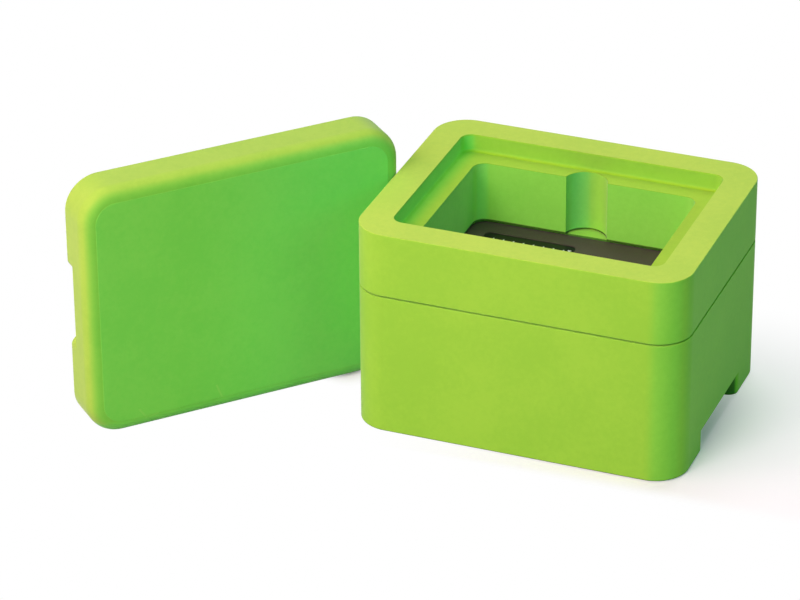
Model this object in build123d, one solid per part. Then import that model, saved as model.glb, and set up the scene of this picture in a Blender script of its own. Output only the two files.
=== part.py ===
from build123d import *
import os
from math import cos, radians, sin

# Tube cooling workstation, in millimetres. The origin is the middle of the box's underside,
# +Z is up, the box's long side runs along X, and -Y is the front.

# Outside of the foam box
box_length = 200.0
box_width = 158.5
box_corner = 20.5
tub_height = 87.9
collar_rise = 40.4
lid_thickness = 26.0
lid_edge_round = 8.0
face_rise = 0.25
face_inset = 0.3
face_edge_round = 0.2
mould_edge_round = 0.4
foot_edge_round = 0.8
reveal_height = 1.1
reveal_depth = 2.0

# Stepped nesting: each block carries a plug that drops into the recess of the block below
rim_width = 18.6
recess_corner = 7.0
step_round = 2.0
plug_height = 8.6
plug_clearance = 0.6
plug_edge_round = 3.2
seat_gap = 0.6
lid_recess_depth = 11.0

# Well for the tube module, through the collar, and the tub's pocket for the core below it
ledge_width = 12.6
well_corner = 8.0
floor_thickness = 25.0
pocket_floor_round = 3.0

# Finger grooves in the well's long walls, through the collar only
groove_width = 25.8
groove_depth = 10.4

# Hand notches under the tub's short sides, and grip notches in the lid's
hand_notch_length = 75.0
hand_notch_height = 13.6
hand_notch_reach = 18.0
grip_notch_length = 57.0
grip_notch_height = 7.5
grip_notch_reach = 13.0
notch_mouth_round = 6.5
notch_inner_round = 3.0

# Lid standing on its long edge, turned about Z, just clear of the box's left wall
lid_turn = 47.2
lid_gap = 0.6
lid_stand_y = -76.5

# Cooling core: how far it reaches under the collar's walls, its clearance to the tub's pocket,
# how far its top stays below the tub's ledge, and its seat's rise and clearance to the well
core_lap = 1.5
core_clearance = 0.5
core_drop = 0.2
core_edge_round = 4.0
plate_thickness = 3.0
plate_edge_round = 0.8
seat_rise = 0.4
seat_clearance = 1.0
case_wall = 2.2
case_floor = 2.6
flange_width = 7.0
flange_thickness = 3.0
post_diameter = 9.0
post_pitch = 40.0
post_rows = 2
post_row_pitch = 42.0

# Seal ring in the flange's groove
seal_width = 2.2
seal_height = 1.4
seal_inset = 2.4
seal_clearance = 0.05

# Phase-change filling, with room to swell under the plate
gel_clearance = 0.3
gel_headroom = 4.0

# Fill plug in the tray's floor, its seat and its seal ring
plug_shank_diameter = 14.0
plug_shank_clearance = 0.15
plug_head_diameter = 21.0
plug_head_thickness = 2.2
plug_head_clearance = 0.5
plug_recess_below = 0.4
fill_boss_diameter = 27.0
fill_boss_height = 9.0
ring_section = 1.6
ring_squeeze = 0.2
ring_inset = 0.7
plug_slot_width = 2.0
plug_slot_depth = 1.1
plug_slot_length = 16.0

# Label strip let into the plate, near its left end and its back edge
label_length = 57.0
label_width = 15.0
label_corner = 4.0
label_recess_depth = 0.9
label_thickness = 0.5
label_clearance = 0.2
label_end_gap = 12.2
label_back_gap = 13.5

# Cutters run this far past the faces they open
overrun = 1.0

# Heights and outlines that follow from the sizes above
collar_top = tub_height + collar_rise
tub_recess_depth = plug_height + seat_gap
tub_ledge = tub_height - tub_recess_depth
collar_ledge = collar_top - lid_recess_depth
collar_foot = tub_height - plug_height
recess_length = box_length - 2 * rim_width
recess_width = box_width - 2 * rim_width
well_length = recess_length - 2 * ledge_width
well_width = recess_width - 2 * ledge_width
core_length = well_length + 2 * core_lap
core_width = well_width + 2 * core_lap
core_corner = well_corner + core_lap
pocket_length = core_length + 2 * core_clearance
pocket_width = core_width + 2 * core_clearance
pocket_corner = core_corner + core_clearance
core_top = tub_ledge - core_drop
plate_foot = core_top - plate_thickness
seat_length = well_length - 2 * seat_clearance
seat_width = well_width - 2 * seat_clearance
seat_corner = well_corner - seat_clearance
label_x = label_end_gap + label_length / 2 - core_length / 2
label_y = core_width / 2 - label_back_gap - label_width / 2
case_inner_corner = max(core_corner - case_wall, 0.5)
tray_floor_top = floor_thickness + case_floor


def rounded_block(length, width, corner, bottom, top):
    """Upright block with rounded vertical edges, centred on Z, between two heights."""
    outline = RectangleRounded(length, width, corner)
    return Pos(0, 0, bottom) * extrude(outline, top - bottom)


def round_loop(body, end, radius):
    """Round the loop of edges at the body's lowest (end 0) or highest (end -1) face."""
    return fillet(body.edges().group_by(Axis.Z)[end], radius)


def recess_cutter(ledge, top):
    """Cutter for a nesting recess, with a soft corner where its wall meets the ledge."""
    block = rounded_block(recess_length, recess_width, recess_corner, ledge, top + overrun)
    return round_loop(block, 0, step_round)


def nesting_plug(bottom, top):
    """Plug that drops into a recess with plug_clearance all round."""
    play = 2 * plug_clearance
    corner = recess_corner - plug_clearance
    block = rounded_block(recess_length - play, recess_width - play, corner, bottom, top)
    return round_loop(block, 0, plug_edge_round)


def notch_cutter(length, reach, height):
    """Notch opening towards +X at X = 0 and downwards at Z = 0, with rounded mouth corners."""
    half = length / 2
    neck = half - notch_mouth_round
    fall = notch_mouth_round * sin(radians(45))
    bend = notch_mouth_round - fall
    upper_mouth = ThreePointArc((0, half), (-bend, half - fall), (-notch_mouth_round, neck))
    lower_mouth = ThreePointArc((-notch_mouth_round, -neck), (-bend, fall - half), (0, -half))
    back = FilletPolyline(
        (-notch_mouth_round, neck),
        (-reach, neck),
        (-reach, -neck),
        (-notch_mouth_round, -neck),
        radius=notch_inner_round,
    )
    front = Polyline((0, -half), (overrun, -half), (overrun, half), (0, half))
    plan = make_face([upper_mouth, back, lower_mouth, front])
    return Pos(0, 0, -overrun) * extrude(plan, height + overrun)


def cut_end_notches(body, length, reach, height):
    """Cut the same notch into the underside of both short sides."""
    cutter = notch_cutter(length, reach, height)
    for turn in (0, 180):
        body -= Rot(0, 0, turn) * Pos(box_length / 2, 0, 0) * cutter
    return body


def make_base_tub():
    """Lower foam block: collar recess in its rim, pocket for the core, hand notches below."""
    tub = rounded_block(box_length, box_width, box_corner, 0, tub_height)
    tub = round_loop(tub, -1, mould_edge_round)
    tub = round_loop(tub, 0, foot_edge_round)
    tub -= recess_cutter(tub_ledge, tub_height)
    pocket_top = tub_ledge + overrun
    pocket = rounded_block(pocket_length, pocket_width, pocket_corner, floor_thickness, pocket_top)
    tub -= round_loop(pocket, 0, pocket_floor_round)
    return cut_end_notches(tub, hand_notch_length, hand_notch_reach, hand_notch_height)


def finger_groove():
    """Part-round cutter through the collar, for one long wall at +Y."""
    half = groove_width / 2
    radius = (half ** 2 + groove_depth ** 2) / (2 * groove_depth)
    centre_y = well_width / 2 + groove_depth - radius
    height = collar_ledge - collar_foot + 2 * overrun
    round_part = Pos(0, centre_y, 0) * Circle(radius)
    mouth = Pos(0, well_width / 2 - groove_depth, 0) * Rectangle(groove_width, 2 * groove_depth)
    wall_side = Pos(0, well_width / 2 + groove_depth, 0) * Rectangle(2 * radius, 2 * groove_depth)
    outline = (round_part & wall_side) + mouth
    return Pos(0, 0, collar_foot - overrun) * extrude(outline, height)


def make_collar():
    """Foam ring over the tub: plug and foot band below, lid recess above, well with finger grooves.

    The foot band is drawn in from the walls, which leaves a fine reveal above the tub's rim.
    """
    wall_foot = tub_height + reveal_height
    ring = rounded_block(box_length, box_width, box_corner, wall_foot, collar_top)
    ring = round_loop(ring, -1, mould_edge_round)
    ring = round_loop(ring, 0, mould_edge_round)
    band_length = box_length - 2 * reveal_depth
    band_width = box_width - 2 * reveal_depth
    band_corner = box_corner - reveal_depth
    ring += rounded_block(band_length, band_width, band_corner, tub_height, wall_foot + overrun)
    ring += nesting_plug(collar_foot, tub_height + overrun)
    ring -= recess_cutter(collar_ledge, collar_top)
    through = rounded_block(
        well_length, well_width, well_corner, collar_foot - overrun, collar_ledge + overrun
    )
    ring -= through
    groove = finger_groove()
    ring -= groove
    ring -= Rot(0, 0, 180) * groove
    return ring


def standing_place():
    """Plane of the standing lid's top face: origin in its middle, X along it, Z outwards."""
    turn = radians(lid_turn)
    straight = box_length / 2 - lid_edge_round
    reach_along = straight + lid_edge_round * cos(turn)
    reach_behind = face_rise + lid_edge_round * (1 - sin(turn))
    reach_x = reach_along * cos(turn) - reach_behind * sin(turn)
    middle_x = -box_length / 2 - lid_gap - reach_x
    middle = (middle_x, lid_stand_y, box_width / 2)
    return Plane(middle, x_dir=(cos(turn), sin(turn), 0), z_dir=(sin(turn), -cos(turn), 0))


def make_lid():
    """Foam lid: slab with a large rounded edge and a slightly raised face, a plug below, and
    grip notches in its ends."""
    shoulder = lid_thickness - face_rise
    slab = rounded_block(box_length, box_width, box_corner, 0, shoulder)
    slab = round_loop(slab, -1, lid_edge_round)
    slab = round_loop(slab, 0, mould_edge_round)
    inset = lid_edge_round + face_inset
    face_length = box_length - 2 * inset
    face_width = box_width - 2 * inset
    face_corner = box_corner - inset
    face = rounded_block(face_length, face_width, face_corner, shoulder - overrun, lid_thickness)
    slab += round_loop(face, -1, face_edge_round)
    slab += nesting_plug(-plug_height, overrun)
    slab = cut_end_notches(slab, grip_notch_length, grip_notch_reach, grip_notch_height)
    return standing_place().location * Pos(0, 0, -lid_thickness) * slab


def post_places():
    """Middles of the posts that hold the core's plate flat, in rows along X."""
    columns = max(int((core_length - 2 * flange_width) / post_pitch), 1)
    return GridLocations(post_pitch, post_row_pitch, columns, post_rows)


def core_outline(inset, corner):
    """The core's outline, drawn in by an inset on every side."""
    return RectangleRounded(core_length - 2 * inset, core_width - 2 * inset, corner)


def make_core_case():
    """Tray of the cooling core: walls, floor, rim flange with a seal groove, posts, fill boss."""
    tray = rounded_block(core_length, core_width, core_corner, floor_thickness, plate_foot)
    tray = round_loop(tray, 0, core_edge_round)
    flange_foot = plate_foot - flange_thickness
    cavity_height = flange_foot - tray_floor_top
    cavity = extrude(core_outline(case_wall, case_inner_corner), cavity_height)
    tray -= Pos(0, 0, tray_floor_top) * cavity
    mouth = extrude(core_outline(flange_width, core_corner), flange_thickness + 2 * overrun)
    tray -= Pos(0, 0, flange_foot - overrun) * mouth
    post = extrude(Circle(post_diameter / 2), plate_foot - tray_floor_top)
    for place in post_places():
        tray += Pos(0, 0, tray_floor_top) * place * post
    boss = extrude(Circle(fill_boss_diameter / 2), fill_boss_height)
    tray += Pos(0, 0, tray_floor_top) * boss
    groove = extrude(seal_outline(seal_clearance), seal_height + overrun)
    tray -= Pos(0, 0, plate_foot - seal_height) * groove
    head_room = plug_head_diameter / 2 + plug_head_clearance
    seat = plug_recess_below + plug_head_thickness + ring_section - ring_squeeze
    tray -= Pos(0, 0, floor_thickness) * extrude(Circle(head_room), seat)
    shank_room = plug_shank_diameter / 2 + plug_shank_clearance
    bore_height = case_floor + fill_boss_height + overrun
    tray -= Pos(0, 0, floor_thickness) * extrude(Circle(shank_room), bore_height)
    return tray


def seal_outline(play):
    """Outline of the seal ring, widened by the play on both of its sides."""
    outer_inset = seal_inset - play
    inner_inset = seal_inset + seal_width + play
    outer = core_outline(outer_inset, core_corner - outer_inset)
    inner = core_outline(inner_inset, max(core_corner - inner_inset, 0.5))
    return outer - inner


def make_core_seal():
    """Flat seal ring that fills the flange's groove up to the plate."""
    return Pos(0, 0, plate_foot - seal_height) * extrude(seal_outline(0), seal_height)


def make_core_gel():
    """Phase-change filling round the posts and the fill boss, with headroom above."""
    inset = case_wall + gel_clearance
    foot = tray_floor_top
    height = plate_foot - flange_thickness - gel_headroom - foot
    gel = extrude(core_outline(inset, case_inner_corner), height)
    hole = extrude(Circle(post_diameter / 2 + gel_clearance), height)
    for place in post_places():
        gel -= place * hole
    gel -= extrude(Circle(fill_boss_diameter / 2 + gel_clearance), height)
    return Pos(0, 0, foot) * gel


def make_fill_plug():
    """Screw plug that closes the tray from below, its head sunk and slotted."""
    head_foot = floor_thickness + plug_recess_below
    head_top = head_foot + plug_head_thickness
    shank_top = tray_floor_top + fill_boss_height
    plug = Pos(0, 0, head_foot) * extrude(Circle(plug_head_diameter / 2), plug_head_thickness)
    shank = extrude(Circle(plug_shank_diameter / 2), shank_top - head_top)
    plug += Pos(0, 0, head_top) * shank
    slot = extrude(Rectangle(plug_slot_length, plug_slot_width), plug_slot_depth)
    return plug - Pos(0, 0, head_foot) * slot


def make_fill_ring():
    """Round seal ring, pressed flat between the plug's head and its seat."""
    height = ring_section - ring_squeeze
    ring_outer = plug_head_diameter / 2 - ring_inset
    ring = Circle(ring_outer) - Circle(ring_outer - ring_section)
    ring_foot = floor_thickness + plug_recess_below + plug_head_thickness
    body = Pos(0, 0, ring_foot) * extrude(ring, height)
    rims = body.edges().filter_by(GeomType.CIRCLE)
    return fillet(rims, height / 3)


def make_core_plate():
    """Top of the core: a flat raised seat inside the well, with a recess for the label strip."""
    shoulder = core_top - seat_rise
    plate = rounded_block(core_length, core_width, core_corner, plate_foot, shoulder)
    plate = round_loop(plate, -1, plate_edge_round)
    plate += rounded_block(seat_length, seat_width, seat_corner, shoulder - overrun, core_top)
    recess = extrude(RectangleRounded(label_length, label_width, label_corner), label_recess_depth)
    return plate - Pos(label_x, label_y, core_top - label_recess_depth) * recess


def make_core_label():
    """Label strip lying in the plate's recess."""
    length = label_length - 2 * label_clearance
    width = label_width - 2 * label_clearance
    strip = extrude(RectangleRounded(length, width, label_corner - label_clearance), label_thickness)
    return Pos(label_x, label_y, core_top - label_recess_depth) * strip


def main():
    """Write one file per piece."""
    os.makedirs("parts", exist_ok=True)
    makers = {
        "base_tub": make_base_tub,
        "collar": make_collar,
        "lid": make_lid,
        "core_case": make_core_case,
        "core_seal": make_core_seal,
        "core_gel": make_core_gel,
        "core_fill_plug": make_fill_plug,
        "core_fill_ring": make_fill_ring,
        "core_plate": make_core_plate,
        "core_label": make_core_label,
    }
    for node, make in makers.items():
        piece = make()
        export_step(piece, f"parts/{node}.step")
        print(f"{node}: {piece.volume:.0f} mm3")


main()
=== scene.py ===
"""Looks of the tube cooling workstation: foam, cooling core, floor, light and camera."""
import logging
import math
from collections.abc import Mapping, Sequence
from dataclasses import dataclass, replace
from enum import Enum
from typing import Any

import bmesh
import bpy
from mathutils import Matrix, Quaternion, Vector


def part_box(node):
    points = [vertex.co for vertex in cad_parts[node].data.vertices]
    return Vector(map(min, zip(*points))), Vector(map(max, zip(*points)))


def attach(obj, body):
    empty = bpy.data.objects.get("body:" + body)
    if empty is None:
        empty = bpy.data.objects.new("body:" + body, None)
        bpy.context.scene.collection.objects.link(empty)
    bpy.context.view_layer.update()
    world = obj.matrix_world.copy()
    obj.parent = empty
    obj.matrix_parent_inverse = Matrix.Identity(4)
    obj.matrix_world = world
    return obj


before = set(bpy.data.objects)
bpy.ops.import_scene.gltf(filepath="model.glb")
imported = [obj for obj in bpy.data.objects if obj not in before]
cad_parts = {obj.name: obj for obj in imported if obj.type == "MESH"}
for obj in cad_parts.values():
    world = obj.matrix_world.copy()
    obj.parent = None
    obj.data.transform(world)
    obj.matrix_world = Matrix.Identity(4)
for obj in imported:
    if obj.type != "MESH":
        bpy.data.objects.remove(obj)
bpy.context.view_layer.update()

MM = 0.001
LOG = logging.getLogger("workstation")

Socket = bpy.types.NodeSocket
Tree = bpy.types.ShaderNodeTree
Point2 = tuple[float, float]
Point3 = tuple[float, float, float]


@dataclass(frozen=True)
class Colour:
    """A colour in linear light, or a tint that multiplies one."""

    red: float
    green: float
    blue: float

    def rgba(self) -> tuple[float, float, float, float]:
        """The colour with full cover."""
        return (self.red, self.green, self.blue, 1.0)

    def rgb(self) -> Point3:
        """The three parts alone."""
        return (self.red, self.green, self.blue)

    def scaled(self, by: float, plus: float = 0.0) -> "Colour":
        """The colour times a number, plus another, with no part above 1."""
        return Colour(*(min(1.0, part * by + plus) for part in self.rgb()))


Feed = float | Sequence[float] | Colour | Socket
WHITE = Colour(1.0, 1.0, 1.0)


class Board:
    """A node tree that is filled by short calls."""

    def __init__(self, tree: Tree) -> None:
        """Takes the tree that is to be filled.

        Args:
            tree: the tree of a material, a world or a group.
        """
        self.tree = tree

    @classmethod
    def on(cls, owner: bpy.types.Material | bpy.types.World) -> "Board":
        """Empties the nodes of a material or a world.

        Args:
            owner: the material or the world.

        Returns:
            The board of its node tree.
        """
        owner.use_nodes = True
        owner.node_tree.nodes.clear()
        return cls(owner.node_tree)

    def node(self, kind: str, inputs: Mapping[str | int, Feed] | None = None,
             **settings: Any) -> bpy.types.Node:
        """Adds a node, sets its own settings, and sets or joins its inputs.

        Args:
            kind: the node's type name.
            inputs: a constant or an output socket for each input, by name or number.
            settings: the node's own properties.

        Returns:
            The new node.
        """
        made = self.tree.nodes.new(kind)
        for name, value in settings.items():
            setattr(made, name, value)
        for key, value in (inputs or {}).items():
            self.feed(made.inputs[key], value)
        return made

    def feed(self, socket: Socket, value: Feed) -> None:
        """Joins an output to an input, or writes a constant into it.

        Args:
            socket: the input.
            value: an output socket or a constant.
        """
        if isinstance(value, bpy.types.NodeSocket):
            self.tree.links.new(value, socket)
        else:
            socket.default_value = value.rgba() if isinstance(value, Colour) else value

    def math(self, operation: str, *values: Feed, clamp: bool = False) -> Socket:
        """Works out one number from others.

        Args:
            operation: the sum to do, such as MULTIPLY.
            values: the numbers or sockets.
            clamp: keeps the result between 0 and 1.

        Returns:
            The socket with the result.
        """
        made = self.node("ShaderNodeMath", dict(enumerate(values)), operation=operation,
                         use_clamp=clamp)
        return made.outputs[0]

    def product(self, first: Feed, *others: Feed) -> Socket:
        """Multiplies numbers, such as masks.

        Args:
            first: the first number.
            others: what it is multiplied by.

        Returns:
            The socket with the product.
        """
        for other in others:
            first = self.math("MULTIPLY", first, other)
        return first

    def inverse(self, mask: Feed) -> Socket:
        """Turns a mask round: 1 where it is 0, and 0 where it is 1."""
        return self.math("SUBTRACT", 1.0, mask)

    def vector(self, operation: str, *values: Feed) -> bpy.types.Node:
        """Works with vectors.

        Args:
            operation: what to do, such as SUBTRACT.
            values: the vectors or sockets.

        Returns:
            The node, whose outputs are named Vector and Value.
        """
        return self.node("ShaderNodeVectorMath", dict(enumerate(values)), operation=operation)

    def dot(self, first: Feed, second: Feed) -> Socket:
        """How far one vector reaches along another."""
        return self.vector("DOT_PRODUCT", first, second).outputs["Value"]

    def mix(self, share: Feed, first: Feed, second: Feed, way: str = "MIX") -> Socket:
        """Mixes two colours.

        Args:
            share: how much of the second colour, 0 to 1.
            first: the colour at share 0.
            second: the colour at share 1.
            way: how they mix.

        Returns:
            The socket with the colour.
        """
        made = self.node("ShaderNodeMix", {0: share, 6: first, 7: second}, data_type="RGBA",
                         blend_type=way)
        return made.outputs[2]

    def tint(self, share: Feed, colour: Feed, tint: Feed) -> Socket:
        """Multiplies a colour by a tint where a mask says so.

        Args:
            share: the mask.
            colour: the colour.
            tint: what it is multiplied by where the mask is 1.

        Returns:
            The socket with the tinted colour.
        """
        return self.mix(share, colour, tint, way="MULTIPLY")

    def between(self, value: Feed, low: float, high: float) -> Socket:
        """Maps a number smoothly from 0 at one value to 1 at another, which may be the lower.

        Args:
            value: the number.
            low: where the result is 0.
            high: where the result is 1.

        Returns:
            The socket with the mapped number.
        """
        made = self.node("ShaderNodeMapRange", {0: value, 1: low, 2: high},
                         interpolation_type="SMOOTHSTEP")
        return made.outputs[0]

    def noise(self, place: Feed, feature: Feed, detail: float, rough: float) -> Socket:
        """Soft noise of a given feature size.

        Args:
            place: the point.
            feature: the size of its features in metres.
            detail: how many finer layers it has.
            rough: how strong the finer layers are.

        Returns:
            The socket with the noise, 0 to 1 about 0.5.
        """
        scale = self.math("DIVIDE", 1.0, feature)
        made = self.node("ShaderNodeTexNoise", {"Vector": place, "Scale": scale,
                                                "Detail": detail, "Roughness": rough})
        return made.outputs["Fac"]

    def own_place(self) -> Socket:
        """The point in the object's own coordinates, which move with it."""
        return self.node("ShaderNodeTexCoord").outputs["Object"]

    def own_parts(self) -> Mapping[str, Socket]:
        """The parts of that point, named X, Y and Z."""
        return self.node("ShaderNodeSeparateXYZ", {0: self.own_place()}).outputs

    def bump(self, height: Feed) -> Socket:
        """The normal of a surface that a height in metres roughens."""
        made = self.node("ShaderNodeBump", {"Strength": 1.0, "Distance": 1.0, "Height": height})
        return made.outputs["Normal"]


class Effect(Enum):
    """The shared surface effects, each a node group."""

    CLOUDING = "skin_clouding"
    GRAIN = "fine_grain"
    EDGE_WEAR = "edge_wear"
    STROKE = "rubbed_stroke"


class EffectShelf:
    """Builds each shared effect once and places it where it is wanted."""

    def __init__(self) -> None:
        """Starts with nothing built."""
        self.built: dict[Effect, Tree] = {}

    def place(self, board: Board, effect: Effect, **inputs: Feed) -> bpy.types.Node:
        """Places an effect in a material.

        Args:
            board: the material's nodes.
            effect: which effect.
            inputs: its named inputs, with underscores for blanks.

        Returns:
            The group node.
        """
        if effect not in self.built:
            maker = {Effect.CLOUDING: self.clouding, Effect.GRAIN: self.grain,
                     Effect.EDGE_WEAR: self.edge_wear, Effect.STROKE: self.stroke}[effect]
            self.built[effect] = maker()
        made = board.node("ShaderNodeGroup", node_tree=self.built[effect])
        for name, value in inputs.items():
            board.feed(made.inputs[name.replace("_", " ")], value)
        return made

    @staticmethod
    def start(effect: Effect, inputs: Mapping[str, Feed],
              outputs: Sequence[str]) -> tuple[Board, Any, Any]:
        """Makes an empty group with its named sockets.

        Args:
            effect: whose group it is.
            inputs: each input's name and standard value, a number or a point.
            outputs: the names of the outputs, all plain numbers.

        Returns:
            The group's board, its inputs as sockets and the output node's sockets.
        """
        tree = bpy.data.node_groups.new(effect.value, "ShaderNodeTree")
        for name, value in inputs.items():
            kind = "NodeSocketFloat" if isinstance(value, float) else "NodeSocketVector"
            socket = tree.interface.new_socket(name=name, in_out="INPUT", socket_type=kind)
            socket.default_value = value
        for name in outputs:
            tree.interface.new_socket(name=name, in_out="OUTPUT", socket_type="NodeSocketFloat")
        board = Board(tree)
        given, out = board.node("NodeGroupInput"), board.node("NodeGroupOutput")
        return board, given.outputs, out.inputs

    def clouding(self) -> Tree:
        """Slow, cloudy change of a moulded skin, broken up by small flecks.

        Returns:
            The group, with a Mask about 0.5 and a Height.
        """
        fleck_share, spread = 0.9, (0.25, 0.75)
        board, given, out = self.start(Effect.CLOUDING, {"Cloud size": 50 * MM,
                                                         "Fleck size": 4 * MM},
                                       ("Mask", "Height"))
        place = board.own_place()
        cloud = board.noise(place, given["Cloud size"], detail=3.0, rough=0.55)
        fleck = board.noise(place, given["Fleck size"], detail=4.0, rough=0.7)
        fleck = board.math("SUBTRACT", fleck, 0.5)
        share = board.math("MULTIPLY_ADD", fleck, fleck_share, cloud)
        board.feed(out["Mask"], board.between(share, *spread))
        board.feed(out["Height"], cloud)
        return board.tree

    def grain(self) -> Tree:
        """Grain of closed cells under a skin, too fine to see one by one.

        Returns:
            The group, with a Mask about 0.5 and a Height.
        """
        cell_density, cell_depth = 0.6, -0.6
        board, given, out = self.start(Effect.GRAIN, {"Grain size": 0.4 * MM},
                                       ("Mask", "Height"))
        place = board.own_place()
        speck = board.noise(place, given["Grain size"], detail=2.0, rough=0.6)
        scale = board.math("DIVIDE", cell_density, given["Grain size"])
        cells = board.node("ShaderNodeTexVoronoi", {"Vector": place, "Scale": scale},
                           feature="F1")
        height = board.math("MULTIPLY_ADD", cells.outputs["Distance"], cell_depth, speck)
        board.feed(out["Mask"], speck)
        board.feed(out["Height"], height)
        return board.tree

    def edge_wear(self) -> Tree:
        """Where hands and shelves rub the outer edges, broken up by noise.

        Returns:
            The group, with a Mask.
        """
        turn_at_edge, broken_spread = (0.995, 0.9), (0.38, 0.62)
        board, given, out = self.start(Effect.EDGE_WEAR, {"Reach": 1.5 * MM,
                                                          "Break size": 6 * MM}, ("Mask",))
        rounded = board.node("ShaderNodeBevel", {"Radius": given["Reach"]}, samples=4)
        flat = board.node("ShaderNodeNewGeometry").outputs["True Normal"]
        turn = board.dot(rounded.outputs["Normal"], flat)
        edge = board.between(turn, *turn_at_edge)
        broken = board.noise(board.own_place(), given["Break size"], detail=4.0, rough=0.65)
        board.feed(out["Mask"], board.product(edge, board.between(broken, *broken_spread)))
        return board.tree

    def stroke(self) -> Tree:
        """A short rubbed stroke between two points, feathered and broken up.

        Returns:
            The group, with a Mask.
        """
        wander_size, feather = 1.5 * MM, (1.0, 0.2)
        board, given, out = self.start(
            Effect.STROKE, {"Start": (0.0, 0.0, 0.0), "End": (0.0, 0.0, 10 * MM),
                            "Width": 1.0 * MM}, ("Mask",))
        place = board.own_place()
        along = board.vector("SUBTRACT", given["End"], given["Start"]).outputs["Vector"]
        away = board.vector("SUBTRACT", place, given["Start"]).outputs["Vector"]
        share = board.math("DIVIDE", board.dot(away, along), board.dot(along, along), clamp=True)
        nearest = board.node("ShaderNodeVectorMath", {0: along, 3: share}, operation="SCALE")
        off_line = board.vector("SUBTRACT", away, nearest.outputs["Vector"]).outputs["Vector"]
        gap = board.vector("LENGTH", off_line).outputs["Value"]
        wander = board.noise(place, wander_size, detail=3.0, rough=0.7)
        wander = board.math("SUBTRACT", wander, 0.5)
        gap = board.math("MULTIPLY_ADD", wander, given["Width"], gap)
        board.feed(out["Mask"], board.between(board.math("DIVIDE", gap, given["Width"]), *feather))
        return board.tree


SHELF = EffectShelf()


@dataclass(frozen=True)
class Finish:
    """A surface finish: the values that every material here has."""

    name: str
    colour: Colour
    roughness: float
    specular: float

    def open_board(self) -> tuple[bpy.types.Material, Board, bpy.types.Node]:
        """Starts the finish's material.

        Returns:
            The material, its board and its surface shader, joined to the output.
        """
        material = bpy.data.materials.new(self.name)
        material.diffuse_color = self.colour.rgba()
        board = Board.on(material)
        surface = board.node("ShaderNodeBsdfPrincipled", {"Roughness": self.roughness,
                                                          "Specular IOR Level": self.specular})
        board.node("ShaderNodeOutputMaterial", {"Surface": surface.outputs["BSDF"]})
        return material, board, surface

    def rough_by(self, board: Board, mask: Feed, spread: float) -> Socket:
        """Spreads the roughness about its own value by a mask about 0.5.

        Args:
            board: the material's nodes.
            mask: the mask.
            spread: how far the roughness goes from mask 0 to mask 1.

        Returns:
            The socket with the roughness.
        """
        return board.math("MULTIPLY_ADD", mask, spread, self.roughness - spread / 2, clamp=True)


@dataclass(frozen=True)
class Panel:
    """The raised face of the lid, as a plane that the finish can tell from the rest.

    The face's greener colour is painted light on the same foam, for how the light falls on a face
    turned to the front and the right. It fades out over the round behind it, which gets a yellower
    painted light. Low down, where the round turns to the floor, it reaches further behind the
    plane.
    The face's right end gets a bluer painted light.
    """

    normal: Point3
    distance: float
    along: Point3
    middle: float
    colour: Colour
    fade: float = 3.9 * MM
    rise: float = 0.2 * MM
    low: Point2 = (10.5 * MM, 6.3 * MM)
    turned_under: float = 8.58 * MM
    end_reach: Point2 = (-0.05, 0.09)
    # The face's clouding tint, then the painted light tints of the round beside the face and of
    # the face's right end.
    deep_tint: Colour = Colour(0.68, 0.93, 0.80)
    painted_light_round_tint: Colour = Colour(1.05, 0.905, 0.75)
    painted_light_end_tint: Colour = Colour(0.83, 1.10, 1.55)

    def tint(self, board: Board, colour: Feed, shade: Feed) -> Socket:
        """Paints a greener light on the face, which fades out over the round beside it.

        Args:
            board: the material's nodes.
            colour: the colour of the rest.
            shade: how deep the clouding is.

        Returns:
            The colour with the face in it.
        """
        place = board.own_place()
        sideways = board.dot(place, self.along)
        end_light_share = board.between(sideways, *(self.middle + reach for reach in self.end_reach))
        own = board.tint(shade, self.colour, self.deep_tint)
        own = board.tint(end_light_share, own, self.painted_light_end_tint)
        height = board.dot(place, self.normal)
        on_face = board.between(height, self.distance - self.fade, self.distance)
        beside = board.between(height, self.distance - self.rise / 4, self.distance - self.rise)
        low = board.between(board.own_parts()["Z"], *self.low)
        round_light_share = board.product(beside, on_face, board.inverse(low))
        turned_under = board.between(height, self.distance - self.turned_under,
                                     self.distance - self.fade)
        on_face = board.math("MAXIMUM", on_face, board.product(low, turned_under))
        return board.tint(round_light_share, board.mix(on_face, colour, own), self.painted_light_round_tint)


@dataclass(frozen=True)
class Underside:
    """Painted shade near the floor: on the walls' lowest line, and inside the notches cut in below
    them.

    The line's fade and its start off the floor are shares of its height.
    """

    line: float = 1.0 * MM
    line_fade: float = 0.4
    off_floor: Point2 = (0.02, 0.1)
    notch_half: Point2 = (0.0, 0.0)
    notch_height: float = 0.0
    notch_fade: float = 1.2 * MM
    # Painted shade: on the walls' lowest line and inside the notches.
    painted_shade_line_tint: Colour = Colour(0.45, 0.50, 0.55)
    painted_shade_notch_tint: Colour = Colour(0.28, 0.22, 0.45)

    def tint(self, board: Board, colour: Feed) -> Socket:
        """Paints shade on the lowest line of the walls and inside the notches.

        Args:
            board: the material's nodes.
            colour: the colour so far.

        Returns:
            The colour with both in it.
        """
        parts = board.own_parts()
        off_floor = board.between(parts["Z"], *(share * self.line for share in self.off_floor))
        line = board.between(parts["Z"], self.line, self.line_fade * self.line)
        colour = board.tint(board.product(off_floor, line), colour, self.painted_shade_line_tint)
        if not self.notch_height:
            return colour
        wide, deep = (board.math("ABSOLUTE", parts[axis]) for axis in "XY")
        inwards = board.between(wide, self.notch_half[0], self.notch_half[0] - self.notch_fade)
        beside = board.math("LESS_THAN", deep, self.notch_half[1])
        under = board.math("LESS_THAN", parts["Z"], self.notch_height)
        notch = board.product(inwards, beside, off_floor, under)
        return board.tint(notch, colour, self.painted_shade_notch_tint)


@dataclass(frozen=True)
class Spot:
    """Where a point lies in the box's stepped inside: its coordinates, and a mask per region."""

    along: Socket
    deep: Socket
    height: Socket
    in_recess: Socket
    in_well: Socket
    in_groove: Socket
    above_foot: Socket


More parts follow.
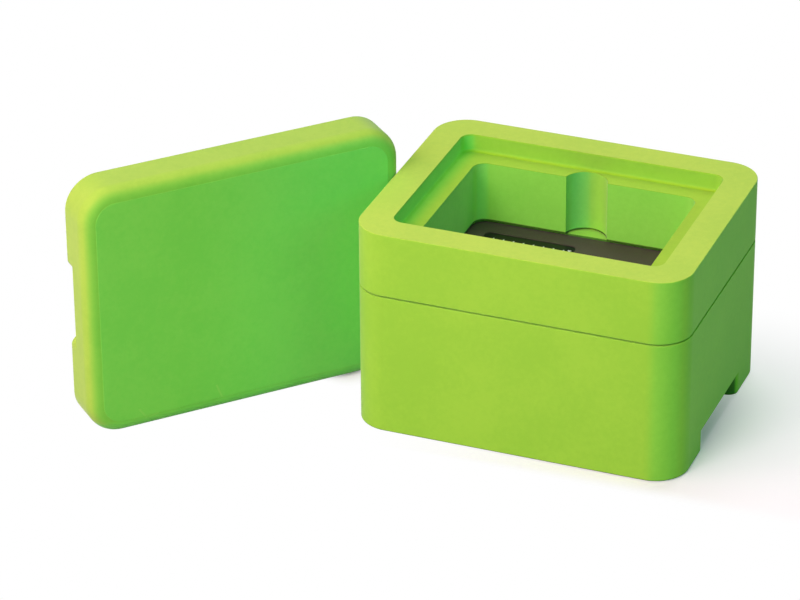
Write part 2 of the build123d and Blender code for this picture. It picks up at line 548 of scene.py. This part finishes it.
@dataclass(frozen=True)
class Hollow:
    """The box's stepped inside, by half its sizes and its heights, with a painted light or shade
    tint for each step.

    The recess, the well and the grooves are rectangles about the middle. The foot is the
    collar's lower edge, and the shelf is the tub's foam that shows in the foot of a groove.
    The lap is how far the core reaches under the walls, and the gap how far below the foot
    foam still shows.
    """

    recess: Point2
    well: Point2
    groove: Point2
    foot: float
    seam: Point2
    ledge: float
    rim: float
    margin: float = 0.4 * MM
    floor: float = 5.0 * MM
    rim_fade: Point2 = (0.8 * MM, 1.2 * MM)
    ledge_fade: Point2 = (0.05 * MM, 0.4 * MM)
    wall_fade: Point2 = (0.2 * MM, 1.6 * MM)
    left_step: float = 2.0 * MM
    left_reach: float = 8.0 * MM
    foot_edge: float = 0.2 * MM
    foot_fade: Point2 = (1.28 * MM, 0.64 * MM)
    lap: float = 2.1 * MM
    gap: float = 2.2 * MM
    # Painted light and shade: the rim's top paler, the recess's wall shaded, its ledge lit, and
    # greener shade at its left end.
    painted_light_rim_tint: Colour = Colour(1.50, 1.115, 1.52)
    painted_shade_wall_tint: Colour = Colour(0.875, 0.94, 1.08)
    painted_light_ledge_tint: Colour = Colour(1.03, 0.945, 0.50)
    painted_shade_left_wall_tint: Colour = Colour(0.80, 1.22, 1.80)
    painted_shade_left_ledge_tint: Colour = Colour(0.48, 1.0, 1.60)
    # Painted shade in the well, a painted light at its left end, and painted shade turning to
    # light across the grooves.
    painted_shade_well_tint: Colour = Colour(0.80, 1.15, 1.66)
    painted_light_left_well_tint: Colour = Colour(1.25, 0.97, 1.45)
    painted_shade_and_light_groove_tints: tuple[Colour, Colour] = (Colour(0.80, 0.86, 1.60), Colour(1.20, 0.97, 0.85))
    # Painted light on the shelf, and painted shadow at the collar's foot and in the gap below it.
    painted_light_shelf_tint: Colour = Colour(1.25, 0.98, 0.90)
    painted_shadow_foot_tint: Colour = Colour(0.05, 0.07, 0.07)
    painted_shadow_gap_tint: Colour = Colour(0.22, 0.30, 0.32)
    # Painted shade in the reveal between the tub and the collar.
    painted_shade_seam_tint: Colour = Colour(0.30, 0.58, 0.85)

    def tint(self, board: Board, colour: Feed, rubbed: Feed) -> tuple[Socket, Socket]:
        """Paints light on the rim's top, light and shade on the inside and shade in the seam, and
        leaves the inside unrubbed.

        Args:
            board: the material's nodes.
            colour: the colour of the outside.
            rubbed: how far each edge is rubbed.

        Returns:
            The colour with the inside in it, and the wear that is left.
        """
        spot = self.find(board)
        for tint_region in (self.tint_steps, self.tint_well, self.tint_foot, self.tint_seam):
            colour = tint_region(board, colour, spot)
        return colour, board.product(rubbed, board.inverse(spot.in_recess))

    def find(self, board: Board) -> Spot:
        """Finds where a point lies.

        Args:
            board: the material's nodes.

        Returns:
            Its coordinates and masks.
        """
        parts = board.own_parts()
        height = parts["Z"]
        wide, deep = (board.math("ABSOLUTE", parts[axis]) for axis in "XY")

        def within(half: Point2) -> Socket:
            """1 inside a rectangle about the middle, seen from above."""
            return board.product(board.math("LESS_THAN", wide, half[0] + self.margin),
                                 board.math("LESS_THAN", deep, half[1] + self.margin))

        off_floor = board.math("GREATER_THAN", height, self.floor)
        below_rim = board.between(height, *(self.rim - drop for drop in self.rim_fade))
        below_ledge = board.between(height, *(self.ledge - drop for drop in self.ledge_fade))
        in_well = board.product(within(self.well), below_ledge, off_floor)
        past_wall = board.math("GREATER_THAN", deep, self.groove[1] + self.margin)
        return Spot(
            along=parts["X"],
            deep=deep,
            height=height,
            in_recess=board.product(within(self.recess), below_rim, off_floor),
            in_well=in_well,
            in_groove=board.product(in_well, past_wall),
            above_foot=board.math("GREATER_THAN", height, self.foot - self.foot_edge),
        )

    def tint_steps(self, board: Board, colour: Feed, spot: Spot) -> Socket:
        """Paints light on the rim's top, shade on the recess's wall and light on its ledge, with
        greener shade at the left end.

        Args:
            board: the material's nodes.
            colour: the colour so far.
            spot: where the point lies.

        Returns:
            The colour with the steps in it.
        """
        rim_light_share = board.between(spot.height, self.rim - self.margin, self.rim)
        colour = board.tint(rim_light_share, colour, self.painted_light_rim_tint)
        on_wall = board.between(spot.height, *(self.ledge + rise for rise in self.wall_fade))
        step = board.mix(on_wall, self.painted_light_ledge_tint, self.painted_shade_wall_tint)
        left = board.mix(on_wall, self.painted_shade_left_ledge_tint, self.painted_shade_left_wall_tint)
        left_end_share = board.between(spot.along, -self.well[0] - self.left_step,
                                self.margin - self.recess[0])
        only_recess = board.math("SUBTRACT", spot.in_recess, spot.in_well, clamp=True)
        return board.tint(only_recess, colour, board.tint(left_end_share, step, left))

    def tint_well(self, board: Board, colour: Feed, spot: Spot) -> Socket:
        """Paints greener shade on the well's walls, a paler, bluer light at their left end, and
        shade turning to light across the grooves' round.

        Args:
            board: the material's nodes.
            colour: the colour so far.
            spot: where the point lies.

        Returns:
            The colour with the well in it.
        """
        colour = board.tint(spot.in_well, colour, self.painted_shade_well_tint)
        left_end_share = board.between(spot.along, self.left_reach - self.well[0],
                                self.margin - self.well[0])
        left = board.product(left_end_share, spot.in_well, spot.above_foot)
        colour = board.tint(left, colour, self.painted_light_left_well_tint)
        across = board.between(spot.along, -self.groove[0], self.groove[0] / 2)
        groove = board.product(spot.in_groove, spot.above_foot)
        return board.tint(groove, colour, board.mix(across, *self.painted_shade_and_light_groove_tints))

    def tint_foot(self, board: Board, colour: Feed, spot: Spot) -> Socket:
        """Paints light on the shelf in a groove's foot, and a dark shadow line where the walls
        end.

        Args:
            board: the material's nodes.
            colour: the colour so far.
            spot: where the point lies.

        Returns:
            The colour with both in it.
        """
        near_foot = board.math("GREATER_THAN", spot.height, self.foot - self.gap)
        past_lap = board.math("GREATER_THAN", spot.deep, self.groove[1] + self.lap)
        shelf = board.product(past_lap, board.math("SUBTRACT", near_foot, spot.above_foot))
        colour = board.tint(board.product(spot.in_groove, shelf), colour, self.painted_light_shelf_tint)
        line = board.between(spot.height, *(self.foot + rise for rise in self.foot_fade))
        off_shelf = board.math("SUBTRACT", near_foot, shelf)
        dark = board.mix(spot.above_foot, self.painted_shadow_gap_tint, self.painted_shadow_foot_tint)
        return board.tint(board.product(line, off_shelf, spot.in_well), colour, dark)

    def tint_seam(self, board: Board, colour: Feed, spot: Spot) -> Socket:
        """Paints shade in the fine reveal between the tub and the collar.

        Args:
            board: the material's nodes.
            colour: the colour so far.
            spot: where the point lies.

        Returns:
            The colour with the reveal in it.
        """
        seam = board.product(board.math("GREATER_THAN", spot.height, self.seam[0]),
                             board.math("LESS_THAN", spot.height, self.seam[1]),
                             board.inverse(spot.in_well))
        return board.tint(seam, colour, self.painted_shade_seam_tint)


@dataclass(frozen=True)
class Rub:
    """A rubbed stroke on the foam, from one point to another."""

    start: Point3
    end: Point3
    width: float


@dataclass(frozen=True)
class FoamFinish(Finish):
    """Moulded closed-cell foam: matte, cloudy, with a fine grain and paler rubbed edges."""

    deep: Colour = Colour(0.3126, 0.645, 0.0483)
    worn: Colour = Colour(0.48, 0.80, 0.15)
    cloud_size: float = 45 * MM
    fleck_size: float = 4 * MM
    grain_size: float = 0.45 * MM
    clouding: float = 0.5
    grain_colour: float = 0.30
    grain_spread: float = 0.12
    edge_reach: float = 1.4 * MM
    edge_break: float = 7 * MM
    wear: float = 0.15
    rub_wear: float = 0.28
    worn_polish: float = 0.08
    sheen: float = 0.32
    sheen_roughness: float = 0.45
    wave: float = 0.12 * MM
    cell: float = 0.03 * MM
    # Painted light: a greener, bluer tint on the round corner whose normal faces this way.
    painted_light_facing: Point3 = (0.545, -0.839, 0.0)
    painted_light_reach: Point2 = (0.84, 0.99)
    painted_light_corner_tint: Colour = Colour(0.80, 1.03, 1.25)
    underside: Underside = Underside()
    panel: Panel | None = None
    hollow: Hollow | None = None
    rubs: tuple[Rub, ...] = ()

    def material(self) -> bpy.types.Material:
        """Builds the foam's material.

        Returns:
            The material.
        """
        material, board, surface = self.open_board()
        cloud = SHELF.place(board, Effect.CLOUDING, Cloud_size=self.cloud_size,
                            Fleck_size=self.fleck_size)
        grain = SHELF.place(board, Effect.GRAIN, Grain_size=self.grain_size)
        wear = SHELF.place(board, Effect.EDGE_WEAR, Reach=self.edge_reach,
                           Break_size=self.edge_break)
        shade = board.product(cloud.outputs["Mask"], self.clouding)
        colour = board.mix(shade, self.colour, self.deep)
        rubbed = board.product(wear.outputs["Mask"], self.wear)
        # The lid's face, the box's hollow, the corner below and the line near the floor get
        # painted light and shade here.
        if self.panel:
            colour = self.panel.tint(board, colour, shade)
        if self.hollow:
            colour, rubbed = self.hollow.tint(board, colour, rubbed)
        colour = self.underside.tint(board, self.paint_corner_light(board, colour))
        speck = board.product(grain.outputs["Mask"], self.grain_colour)
        colour = board.mix(speck, colour, self.deep)
        for rub in self.rubs:
            stroke = SHELF.place(board, Effect.STROKE, Start=rub.start, End=rub.end,
                                 Width=rub.width)
            worn = board.product(stroke.outputs["Mask"], self.rub_wear)
            rubbed = board.math("MAXIMUM", rubbed, worn)
        board.feed(surface.inputs["Base Color"], board.mix(rubbed, colour, self.worn))
        rough = self.rough_by(board, grain.outputs["Mask"], self.grain_spread)
        rough = board.math("MULTIPLY_ADD", rubbed, -self.worn_polish, rough, clamp=True)
        board.feed(surface.inputs["Roughness"], rough)
        board.feed(surface.inputs["Sheen Weight"], self.sheen)
        board.feed(surface.inputs["Sheen Roughness"], self.sheen_roughness)
        height = board.product(cloud.outputs["Height"], self.wave)
        height = board.math("MULTIPLY_ADD", grain.outputs["Height"], self.cell, height)
        board.feed(surface.inputs["Normal"], board.bump(height))
        return material

    def paint_corner_light(self, board: Board, colour: Feed) -> Socket:
        """Paints a greener, bluer light on the round corner that faces one way, for how the light
        falls there.

        Args:
            board: the material's nodes.
            colour: the colour so far.

        Returns:
            The colour with the corner in it.
        """
        facing = board.node("ShaderNodeTexCoord").outputs["Normal"]
        corner_light_share = board.between(board.dot(facing, self.painted_light_facing), *self.painted_light_reach)
        return board.tint(corner_light_share, colour, self.painted_light_corner_tint)


@dataclass(frozen=True)
class MouldedFinish(Finish):
    """A hard moulded plastic with a fine, even texture and slightly paler edges."""

    texture_size: float = 0.35 * MM
    texture_depth: float = 0.02 * MM
    texture_spread: float = 0.16
    cloud_size: float = 30 * MM
    fleck_size: float = 2 * MM
    variation: float = 0.25
    darker: float = 0.7
    paler: Point2 = (1.6, 0.02)
    edge_reach: float = 0.8 * MM
    edge_break: float = 4 * MM
    wear: float = 0.2

    def material(self) -> bpy.types.Material:
        """Builds the plastic's material.

        Returns:
            The material.
        """
        material, board, surface = self.open_board()
        cloud = SHELF.place(board, Effect.CLOUDING, Cloud_size=self.cloud_size,
                            Fleck_size=self.fleck_size)
        grain = SHELF.place(board, Effect.GRAIN, Grain_size=self.texture_size)
        wear = SHELF.place(board, Effect.EDGE_WEAR, Reach=self.edge_reach,
                           Break_size=self.edge_break)
        shade = board.product(cloud.outputs["Mask"], self.variation)
        shade = board.math("MULTIPLY_ADD", grain.outputs["Mask"], self.variation, shade,
                           clamp=True)
        colour = board.mix(shade, self.colour, self.colour.scaled(self.darker))
        rubbed = board.product(wear.outputs["Mask"], self.wear)
        pale = self.colour.scaled(*self.paler)
        board.feed(surface.inputs["Base Color"], board.mix(rubbed, colour, pale))
        rough = self.rough_by(board, grain.outputs["Mask"], self.texture_spread)
        board.feed(surface.inputs["Roughness"], rough)
        height = board.product(grain.outputs["Height"], self.texture_depth)
        board.feed(surface.inputs["Normal"], board.bump(height))
        return material


@dataclass(frozen=True)
class LabelFinish(Finish):
    """A printed strip: a dark green field between two black ends."""

    first_end: float
    last_end: float
    ends: Colour = Colour(0.004, 0.004, 0.004)
    darker: float = 0.75
    texture_size: float = 0.25 * MM
    texture_depth: float = 0.006 * MM
    texture_spread: float = 0.2

    def material(self) -> bpy.types.Material:
        """Builds the strip's material, whose ends are told apart by where they lie.

        Returns:
            The material.
        """
        material, board, surface = self.open_board()
        grain = SHELF.place(board, Effect.GRAIN, Grain_size=self.texture_size)
        along = board.own_parts()["X"]
        is_end = board.math("MAXIMUM", board.math("LESS_THAN", along, self.first_end),
                            board.math("GREATER_THAN", along, self.last_end))
        middle = board.mix(grain.outputs["Mask"], self.colour, self.colour.scaled(self.darker))
        board.feed(surface.inputs["Base Color"], board.mix(is_end, middle, self.ends))
        rough = self.rough_by(board, grain.outputs["Mask"], self.texture_spread)
        board.feed(surface.inputs["Roughness"], rough)
        height = board.product(grain.outputs["Height"], self.texture_depth)
        board.feed(surface.inputs["Normal"], board.bump(height))
        return material


def dress(names: Sequence[str], material: bpy.types.Material) -> None:
    """Gives CAD nodes their material.

    Args:
        names: the nodes.
        material: what they get in every slot.
    """
    for name in names:
        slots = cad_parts[name].material_slots
        for slot in slots:
            slot.link = "OBJECT"
            slot.material = material
        LOG.info("%s: %s on %d slot(s)", name, material.name, len(slots))


def front_plane(name: str) -> tuple[Point3, float]:
    """The plane of a node's largest flat face that looks to the front and the right.

    Args:
        name: the node.

    Returns:
        The plane's outward normal, and how far it lies along that normal.
    """
    least = 0.3
    faces = [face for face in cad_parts[name].data.polygons
             if face.normal.y < -least and face.normal.x > least]
    largest = max(faces, key=lambda face: face.area)
    return tuple(largest.normal), largest.center.dot(largest.normal)


@dataclass
class FoamBox:
    """The tub and the collar on it, both of moulded foam."""

    finish: FoamFinish
    nodes: tuple[str, ...] = ("base_tub", "collar")
    rim_width: float = 18.6 * MM
    ledge_width: float = 12.6 * MM
    recess_depth: float = 11.0 * MM
    groove_depth: float = 10.8 * MM
    groove_half: float = 12.9 * MM
    # Heights of the painted shade in the reveal, above the tub's top.
    seam_shade_reach: Point2 = (0.05 * MM, 1.15 * MM)
    notch_inset: float = 0.5 * MM
    notch_half: float = 37.8 * MM
    notch_height: float = 13.8 * MM

    def build(self) -> None:
        """Dresses both shells, with their stepped inside found from the frame."""
        low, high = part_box("collar")
        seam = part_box("base_tub")[1].z
        half_long = (high.x - low.x) / 2 - self.rim_width
        half_deep = (high.y - low.y) / 2 - self.rim_width
        wall = half_deep - self.ledge_width
        hollow = Hollow(
            recess=(half_long, half_deep),
            well=(half_long - self.ledge_width, wall + self.groove_depth),
            groove=(self.groove_half, wall),
            foot=low.z,
            seam=(seam + self.seam_shade_reach[0], seam + self.seam_shade_reach[1]),
            ledge=high.z - self.recess_depth,
            rim=high.z,
        )
        underside = Underside(notch_half=(high.x - self.notch_inset, self.notch_half),
                              notch_height=self.notch_height)
        dress(self.nodes, replace(self.finish, hollow=hollow, underside=underside).material())


@dataclass
class StandingLid:
    """The lid, which stands on its long edge beside the box."""

    finish: FoamFinish
    # The lid's colour and deep are the box's foam colours made paler and yellower: painted light,
    # for the light on its top and left end.
    colour: Colour
    deep: Colour
    # Painted light: the face's greener colour stands for how the light falls on it.
    painted_light_face_colour: Colour
    node: str = "lid"
    # A painted shade line along the lid's foot.
    underside: Underside = Underside(3.1 * MM, painted_shade_line_tint=Colour(0.26, 0.35, 0.33))
    # Each rub is given on the face: along it from its middle, and up from the floor, in metres.
    rubs: tuple[tuple[Point2, Point2, float], ...] = (
        ((-0.0699, 0.0134), (-0.0655, 0.0067), 0.9 * MM),
        ((-0.0636, 0.0068), (-0.0585, 0.0082), 0.8 * MM),
        ((-0.0209, 0.0170), (-0.0178, 0.0091), 0.9 * MM),
    )

    def build(self) -> None:
        """Dresses the lid, with its face and its rubs found from the frame."""
        normal, distance = front_plane(self.node)
        low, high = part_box(self.node)
        middle = (low + high) / 2
        outward = Vector(normal)
        along = Vector((-outward.y, outward.x, 0.0)).normalized()
        panel = Panel(normal, distance, tuple(along), middle.dot(along), self.painted_light_face_colour)
        foot = outward * distance + along * (middle - outward * distance).dot(along)

        def on_face(mark: Point2) -> Point3:
            """The point of a mark on the face."""
            return tuple(Vector((foot.x, foot.y, mark[1])) + along * mark[0])

        rubs = tuple(Rub(on_face(start), on_face(end), width) for start, end, width in self.rubs)
        finish = replace(self.finish, name="foam_lid", colour=self.colour, deep=self.deep,
                         panel=panel, rubs=rubs, painted_light_corner_tint=WHITE, underside=self.underside)
        dress((self.node,), finish.material())


@dataclass
class CoolingCore:
    """The removable core: its tray, top plate, filling, seals and fill plug."""

    tray: MouldedFinish
    top: MouldedFinish
    rubber: MouldedFinish
    filling: MouldedFinish

    def build(self) -> None:
        """Dresses each of the core's nodes."""
        dress(("core_case", "core_fill_plug"), self.tray.material())
        dress(("core_plate",), self.top.material())
        dress(("core_seal", "core_fill_ring"), self.rubber.material())
        dress(("core_gel",), self.filling.material())


@dataclass
class LabelStrip:
    """The strip in the core's top, with plain pale ticks and a pointer printed on it."""

    field: Colour
    ink: MouldedFinish
    node: str = "core_label"
    body: str = "core"
    slot: str = "label"
    end_length: float = 6.5 * MM
    tick_count: int = 8
    tick_first: float = 6.5 * MM
    tick_pitch: float = 6.26 * MM
    tick_size: Point2 = (1.0 * MM, 5.4 * MM)
    pointer_size: float = 2.8 * MM
    pointer_gap: float = 2.9 * MM
    pointer_up: float = 0.7 * MM
    print_shift: float = -0.95 * MM
    print_height: float = 0.05 * MM
    corner: float = 0.3 * MM
    corner_segments: int = 3

    def build(self) -> None:
        """Dresses the strip and prints its marks on it."""
        low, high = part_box(self.node)
        finish = LabelFinish("label_print", self.field, 0.45, 0.25,
                             low.x + self.end_length, high.x - self.end_length)
        dress((self.node,), finish.material())
        ink = self.ink.material()
        middle = (low.y + high.y) / 2 + self.print_shift
        half_wide, half_long = self.tick_size[0] / 2, self.tick_size[1] / 2
        front, back = middle - half_long, middle + half_long
        for count in range(self.tick_count):
            x = low.x + self.tick_first + count * self.tick_pitch
            left, right = x - half_wide, x + half_wide
            corners = [(left, front), (right, front), (right, back), (left, back)]
            self.print_mark(f"label_tick_{count + 1}", corners, high.z, ink)
        tip, half, back = high.x - self.pointer_gap, self.pointer_size / 2, back + self.pointer_up
        corners = [(tip, back - self.pointer_size), (tip + half, back), (tip - half, back)]
        self.print_mark("label_pointer", corners, high.z, ink)

    def print_mark(self, name: str, corners: Sequence[Point2], level: float,
                   material: bpy.types.Material) -> None:
        """Makes one thin raised mark with softened corners.

        Args:
            name: the piece's name.
            corners: its outline, anticlockwise.
            level: the height of the surface that it lies on.
            material: its finish.
        """
        mesh = bpy.data.meshes.new(name)
        shape = bmesh.new()
        base = shape.faces.new([shape.verts.new((x, y, level)) for x, y in corners])
        lifted = bmesh.ops.extrude_face_region(shape, geom=[base])
        tops = [item for item in lifted["geom"] if isinstance(item, bmesh.types.BMVert)]
        bmesh.ops.translate(shape, verts=tops, vec=(0.0, 0.0, self.print_height))
        upright = [edge for edge in shape.edges
                   if abs(edge.verts[0].co.z - edge.verts[1].co.z) > self.print_height / 2]
        bmesh.ops.bevel(shape, geom=upright, offset=self.corner,
                        segments=self.corner_segments, affect="EDGES")
        bmesh.ops.recalc_face_normals(shape, faces=shape.faces)
        shape.to_mesh(mesh)
        shape.free()
        mesh.materials.append(material)
        piece = bpy.data.objects.new(name, mesh)
        bpy.context.scene.collection.objects.link(piece)
        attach(piece, self.body)
        LOG.info("%s: %d faces", name, len(mesh.polygons))


def stand_around(data: bpy.types.Light | bpy.types.Camera, aim: Sequence[float],
                 azimuth: float, elevation: float, distance: float) -> bpy.types.Object:
    """Stands a lamp or a camera around the object, looking at a point.

    Args:
        data: the light or the camera.
        aim: the point that it looks at.
        azimuth: degrees, 0 in front and 90 to the right.
        elevation: degrees above the floor.
        distance: how far it is from the point.

    Returns:
        The new object.
    """
    turn, rise = math.radians(azimuth), math.radians(elevation)
    level = math.cos(rise)
    back = Vector((math.sin(turn) * level, -math.cos(turn) * level, math.sin(rise)))
    made = bpy.data.objects.new(data.name, data)
    bpy.context.scene.collection.objects.link(made)
    made.location = Vector(aim) + back * distance
    made.rotation_mode = "QUATERNION"
    made.rotation_quaternion = (-back).to_track_quat("-Z", "Y")
    return made


@dataclass(frozen=True)
class SoftLamp:
    """A large, soft lamp that looks at the object."""

    name: str
    azimuth: float
    elevation: float
    distance: float
    width: float
    power: float
    colour: Colour

    def build(self, aim: Sequence[float]) -> None:
        """Hangs the lamp.

        Args:
            aim: the point that it looks at.
        """
        light = bpy.data.lights.new(self.name, "AREA")
        light.shape = "DISK"
        light.size = self.width
        light.energy = self.power
        light.color = self.colour.rgb()
        stand_around(light, aim, self.azimuth, self.elevation, self.distance)
        LOG.info("%s: %.1f W", self.name, self.power)


@dataclass(frozen=True)
class ShadePatch:
    """A place where the floor keeps its shadows, which fade to white round it and before it."""

    middle: Point2
    near: float
    far: float
    front: float
    soft: float = 0.03


@dataclass
class Studio:
    """The pale floor, the soft lamps, the even light around them and the camera."""

    lamps: tuple[SoftLamp, ...]
    light_above: Colour
    light_below: Colour
    horizon: Point2 = (-0.15, 0.15)
    touch_length: float = 1.2 * MM
    floor_colour: Colour = Colour(1.0, 0.92, 1.0)
    floor_bounce: Colour = Colour(0.44, 0.53, 0.45)
    floor_lift: float = 0.15
    floor_size: float = 6.0
    floor_drop: float = 0.3 * MM
    shades: tuple[ShadePatch, ...] = (
        ShadePatch((0.106, -0.050), near=0.03, far=0.20, front=-0.080, soft=0.016),
        ShadePatch((-0.125, -0.02), near=0.0, far=0.02, front=-0.5),
    )
    aim: Point3 = (-0.08781, -0.03008, 0.060)
    camera_distance: float = 2.41769
    camera_azimuth: float = 21.490
    camera_elevation: float = 28.532
    camera_roll: float = -0.4423
    camera_clip: Point2 = (0.1, 50.0)
    lens: float = 185.863

    def build(self) -> None:
        """Builds the floor, the world, the lamps and the camera."""
        self.build_floor()
        self.build_world()
        for lamp in self.lamps:
            lamp.build(self.aim)
        self.build_camera()

    def build_floor(self) -> None:
        """Lays the floor, which shows white wherever no shadow falls."""
        half = self.floor_size / 2
        corners = [(-half, -half), (half, -half), (half, half), (-half, half)]
        mesh = bpy.data.meshes.new("floor")
        mesh.from_pydata([(x, y, -self.floor_drop) for x, y in corners], [], [(0, 1, 2, 3)])
        mesh.materials.append(self.floor_material())
        floor = bpy.data.objects.new("floor", mesh)
        bpy.context.scene.collection.objects.link(floor)
        floor.visible_shadow = False

    def floor_material(self) -> bpy.types.Material:
        """The floor's material: pale from above, and clear from below and under the object.

        Returns:
            The material.
        """
        material = bpy.data.materials.new("pale_floor")
        board = Board.on(material)
        seen = self.seen_directly(board)
        shown = board.mix(seen, self.floor_bounce, self.floor_colour)
        matte = board.node("ShaderNodeBsdfDiffuse", {"Color": shown}).outputs["BSDF"]
        lift = board.node("ShaderNodeEmission",
                          {"Strength": board.product(seen, self.floor_lift)}).outputs["Emission"]
        near = board.node("ShaderNodeAddShader", {0: matte, 1: lift}).outputs["Shader"]
        white = board.node("ShaderNodeEmission", {"Strength": 1.0}).outputs["Emission"]
        whitened = self.whitened(board, seen)
        top = board.node("ShaderNodeMixShader", {0: whitened, 1: near, 2: white})
        clear = board.node("ShaderNodeBsdfTransparent").outputs["BSDF"]
        below = board.node("ShaderNodeNewGeometry").outputs["Backfacing"]
        length = board.node("ShaderNodeLightPath").outputs["Ray Length"]
        close = board.math("LESS_THAN", length, self.touch_length)
        hidden = board.math("MAXIMUM", below, board.product(close, board.inverse(seen)))
        both = board.node("ShaderNodeMixShader", {0: hidden, 1: top.outputs["Shader"], 2: clear})
        board.node("ShaderNodeOutputMaterial", {"Surface": both.outputs["Shader"]})
        return material

    def whitened(self, board: Board, seen: Socket) -> Socket:
        """How far the seen floor is plain white, away from the patches that keep shadows.

        Args:
            board: the material's nodes.
            seen: 1 where the floor is seen directly.

        Returns:
            The mask.
        """
        mask = seen
        for patch in self.shades:
            middle = (*patch.middle, -self.floor_drop)
            offset = board.vector("SUBTRACT", board.own_place(), middle).outputs["Vector"]
            away = board.vector("LENGTH", offset).outputs["Value"]
            around = board.between(away, patch.near, patch.far)
            before = board.between(board.own_parts()["Y"], patch.front, patch.front - patch.soft)
            mask = board.product(board.math("MAXIMUM", around, before), mask)
        return mask

    @staticmethod
    def seen_directly(board: Board) -> Socket:
        """1 for what the camera sees, straight, mirrored or through glass, and 0 for bounces."""
        path = board.node("ShaderNodeLightPath").outputs
        mirrored = board.math("MAXIMUM", path["Is Glossy Ray"], path["Is Transmission Ray"])
        return board.math("MAXIMUM", path["Is Camera Ray"], mirrored)

    def build_world(self) -> None:
        """Gives the world a white that is seen and a weaker, even light on the object."""
        world = bpy.data.worlds.new("studio")
        board = Board.on(world)
        white = board.node("ShaderNodeBackground", {"Color": WHITE, "Strength": 1.0})
        place = board.node("ShaderNodeTexCoord").outputs["Generated"]
        rise = board.node("ShaderNodeSeparateXYZ", {0: place}).outputs["Z"]
        above = board.between(rise, *self.horizon)
        soft = board.mix(above, self.light_below, self.light_above)
        even = board.node("ShaderNodeBackground", {"Color": soft, "Strength": 1.0})
        both = board.node("ShaderNodeMixShader", {0: self.seen_directly(board),
                                                  1: even.outputs["Background"],
                                                  2: white.outputs["Background"]})
        board.node("ShaderNodeOutputWorld", {"Surface": both.outputs["Shader"]})
        bpy.context.scene.world = world

    def build_camera(self) -> None:
        """Sets up the camera at the photograph's viewing angle."""
        camera = bpy.data.cameras.new("camera")
        camera.lens = self.lens
        camera.clip_start, camera.clip_end = self.camera_clip
        holder = stand_around(camera, self.aim, self.camera_azimuth, self.camera_elevation,
                              self.camera_distance)
        roll = Quaternion((0.0, 0.0, 1.0), math.radians(self.camera_roll))
        holder.rotation_quaternion = holder.rotation_quaternion @ roll
        bpy.context.scene.camera = holder
        bpy.context.scene.view_settings.view_transform = "Standard"


LAMPS = (
    SoftLamp("front_lamp", -8.0, 38.0, 2.0, 1.2, 26.5, Colour(1.0, 0.832, 0.90)),
    SoftLamp("left_lamp", -38.0, 34.0, 1.2, 0.8, 3.8, Colour(1.22, 0.90, 0.94)),
    SoftLamp("far_left_lamp", -65.0, 30.0, 1.2, 0.8, 2.2, Colour(1.45, 0.92, 0.95)),
    SoftLamp("back_lamp", 175.0, 60.0, 1.8, 1.2, 12.4, Colour(0.96, 1.0, 0.98)),
    SoftLamp("right_lamp", 70.0, 26.0, 1.6, 1.0, 4.2, Colour(0.02, 0.99, 0.51)),
)


def main() -> None:
    """Builds every sub-assembly and the studio around them."""
    logging.basicConfig(level=logging.INFO, format="%(name)s %(message)s")
    foam = FoamFinish("foam_green", Colour(0.41, 0.727, 0.0626), roughness=0.62, specular=0.06)
    FoamBox(foam).build()
    StandingLid(
        foam,
        # The lid's colours: the foam with a paler, yellower painted light, and a greener painted
        # light on its face.
        colour=Colour(0.470, 0.72, 0.088),
        deep=Colour(0.357, 0.634, 0.067),
        painted_light_face_colour=Colour(0.242, 0.767, 0.099),
    ).build()
    CoolingCore(
        tray=MouldedFinish("tray_moulding", Colour(0.045, 0.045, 0.04), 0.5, 0.4),
        top=MouldedFinish("plate_moulding", Colour(0.088, 0.073, 0.056), 0.6, 0.3, wear=0.0),
        rubber=MouldedFinish("soft_seal", Colour(0.018, 0.018, 0.018), 0.75, 0.3),
        filling=MouldedFinish("cold_filling", Colour(0.2, 0.45, 0.6), 0.35, 0.5,
                              texture_size=2 * MM),
    ).build()
    LabelStrip(
        field=Colour(0.010, 0.016, 0.006),
        ink=MouldedFinish("pale_print", Colour(0.75, 0.76, 0.72), 0.5, 0.3,
                          texture_depth=0.004 * MM),
    ).build()
    Studio(
        LAMPS,
        light_above=Colour(0.015, 0.02, 0.015),
        light_below=Colour(0.15, 0.15, 0.15),
    ).build()


if __name__ == "__main__":
    main()
